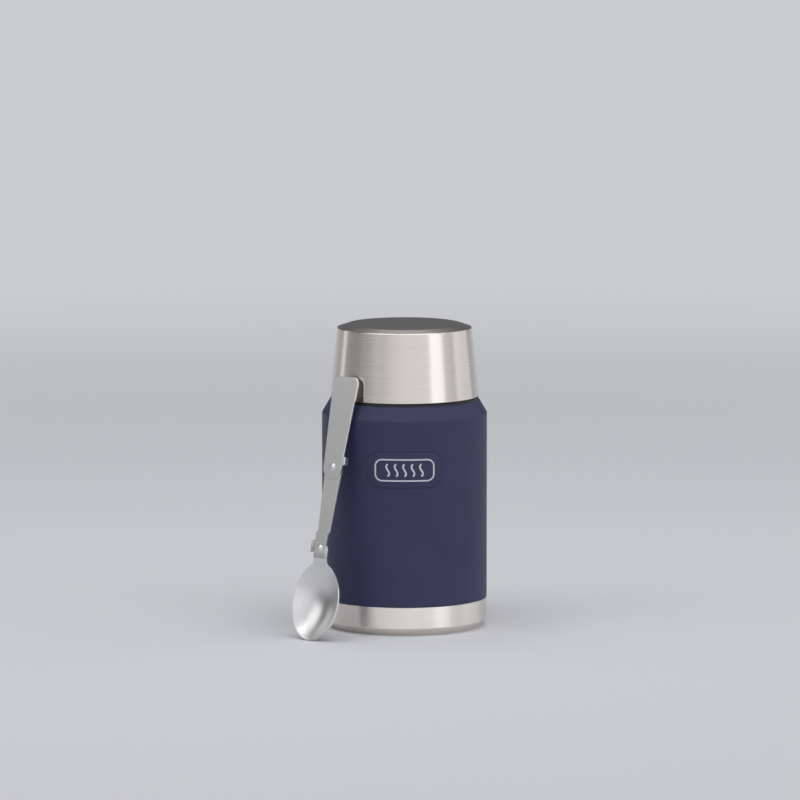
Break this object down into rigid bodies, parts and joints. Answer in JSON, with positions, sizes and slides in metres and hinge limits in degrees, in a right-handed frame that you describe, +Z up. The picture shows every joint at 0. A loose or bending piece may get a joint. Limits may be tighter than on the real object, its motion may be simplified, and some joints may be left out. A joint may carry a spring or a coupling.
{
  "type": "insulated food jar",
  "caption": "Wide-mouth vacuum-insulated food jar with a screw-in stopper, a screw-on steel bowl lid and a folding spoon that leans on its side.",
  "frame": {"origin": "centre of the foot ring, in the plane that the jar stands on", "axes": "+Z up along the jar's axis; -Y is the front, with the badge; the spoon leans on the front left, -X and -Y"},
  "size_m": [0.121, 0.1248, 0.1894],
  "materials": {
    "navy_coat": "satin powder coat",
    "brushed_steel": "turned brushing round the axis",
    "liner_steel": "plain drawn",
    "lid_inner_steel": "plain drawn",
    "spoon_steel": "satin",
    "rivet_steel": "polished heads",
    "vacuum_seal": "brazed",
    "getter": "sintered",
    "foil": "bright foil",
    "black_plastic": "matt",
    "stopper_plastic": "fine matt",
    "foam": "expanded",
    "silicone": "translucent grey",
    "badge_coat": "satin",
    "badge_print": "printed pale grey"
  },
  "bodies": {
    "jar": {"outer_shell": "navy_coat", "base_cup": "brushed_steel", "vacuum_end_plate": "liner_steel", "evacuation_plug": "vacuum_seal", "getter_disc": "getter", "inner_liner": "liner_steel", "radiation_foil": "foil", "neck_collar": "black_plastic", "badge_plate": "badge_coat", "badge_inlay": "badge_print"},
    "stopper_seal_ring": {"stopper_seal": "silicone"},
    "stopper": {"stopper_body": "stopper_plastic", "stopper_base": "stopper_plastic", "stopper_foam": "foam", "stopper_tray": "stopper_plastic"},
    "lid_seal": {"lid_seal_ring": "silicone"},
    "lid": {"lid_thread_ring": "black_plastic", "lid_shell": "brushed_steel", "lid_bowl": "lid_inner_steel"},
    "spoon_middle": {"spoon_link": "spoon_steel", "upper_rivet": "rivet_steel", "lower_rivet": "rivet_steel"},
    "spoon_grip": {"spoon_handle": "spoon_steel"},
    "spoon_end": {"spoon_bowl": "spoon_steel"}
  },
  "joints": [
    {"name": "stopper_rise", "type": "slide", "parent": "jar", "child": "stopper_seal_ring", "axis": [0, 0, 1], "range_m": [0, 0.0376]},
    {"name": "stopper_turn", "type": "hinge", "parent": "stopper_seal_ring", "child": "stopper", "pos_m": [0, 0, 0.15], "axis": [0, 0, 1], "range_deg": [0, 900]},
    {"name": "lid_rise", "type": "slide", "parent": "stopper", "child": "lid_seal", "axis": [0, 0, 1], "range_m": [0, 0.0376]},
    {"name": "lid_turn", "type": "hinge", "parent": "lid_seal", "child": "lid", "pos_m": [0, 0, 0.165], "axis": [0, 0, 1], "range_deg": [0, 900]},
    {"name": "spoon_lift", "type": "slide", "parent": "jar", "child": "spoon_middle", "axis": [-0.3078, -0.394, 0.866], "range_m": [0, 0.12]},
    {"name": "handle_fold", "type": "hinge", "parent": "spoon_middle", "child": "spoon_grip", "pos_m": [-0.04286, -0.04326, 0.10432], "axis": [-0.5924, -0.7582, 0.2723], "range_deg": [0, 155]},
    {"name": "bowl_fold", "type": "hinge", "parent": "spoon_middle", "child": "spoon_end", "pos_m": [-0.05072, -0.05477, 0.05516], "axis": [-0.5924, -0.7582, 0.2723], "range_deg": [0, 180]}
  ],
  "couplings": [
    {"joint": "stopper_rise", "follows": "stopper_turn", "m_per_rad": 0.0023873},
    {"joint": "lid_rise", "follows": "lid_turn", "m_per_rad": 0.0023873}
  ]
}
